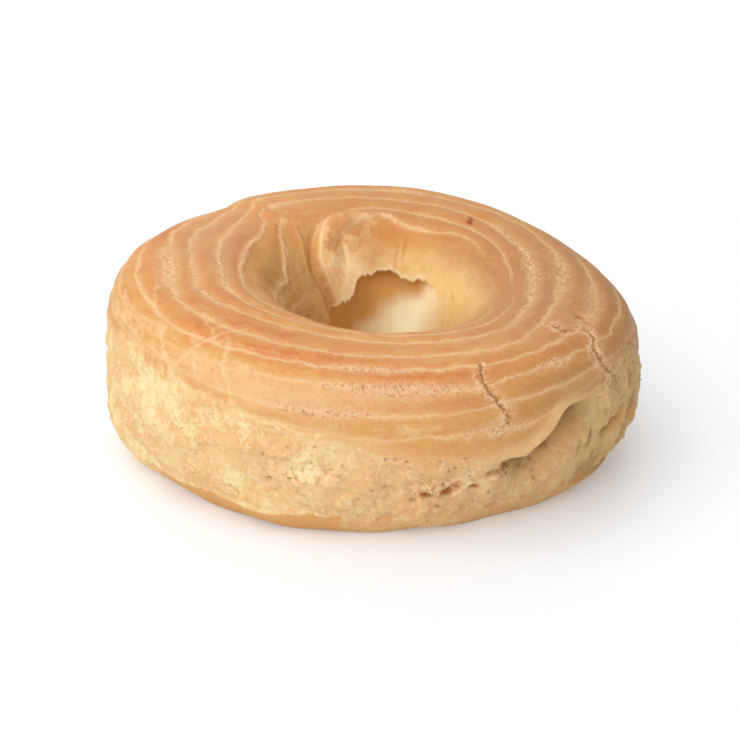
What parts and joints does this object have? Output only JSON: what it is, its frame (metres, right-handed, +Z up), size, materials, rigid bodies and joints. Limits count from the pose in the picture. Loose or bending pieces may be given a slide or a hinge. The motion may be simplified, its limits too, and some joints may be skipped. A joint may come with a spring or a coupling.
{
  "type": "choux pastry ring",
  "caption": "Ring of baked choux pastry: piped ridges on a browned crown, pale pitted side, torn inner wall, flat foot.",
  "frame": {"origin": "on the resting surface, under the middle of the ring's bounding box", "axes": "+Z up along the axis of the hole, -Y towards the side shown in front, +X to its right"},
  "size_m": [0.0974, 0.0954, 0.0362],
  "materials": {
    "baked_choux": "matt baked crust with a faint egg sheen, golden brown on top and cream on the side"
  },
  "bodies": {
    "root": {"choux_ring": "baked_choux"}
  },
  "joints": []
}
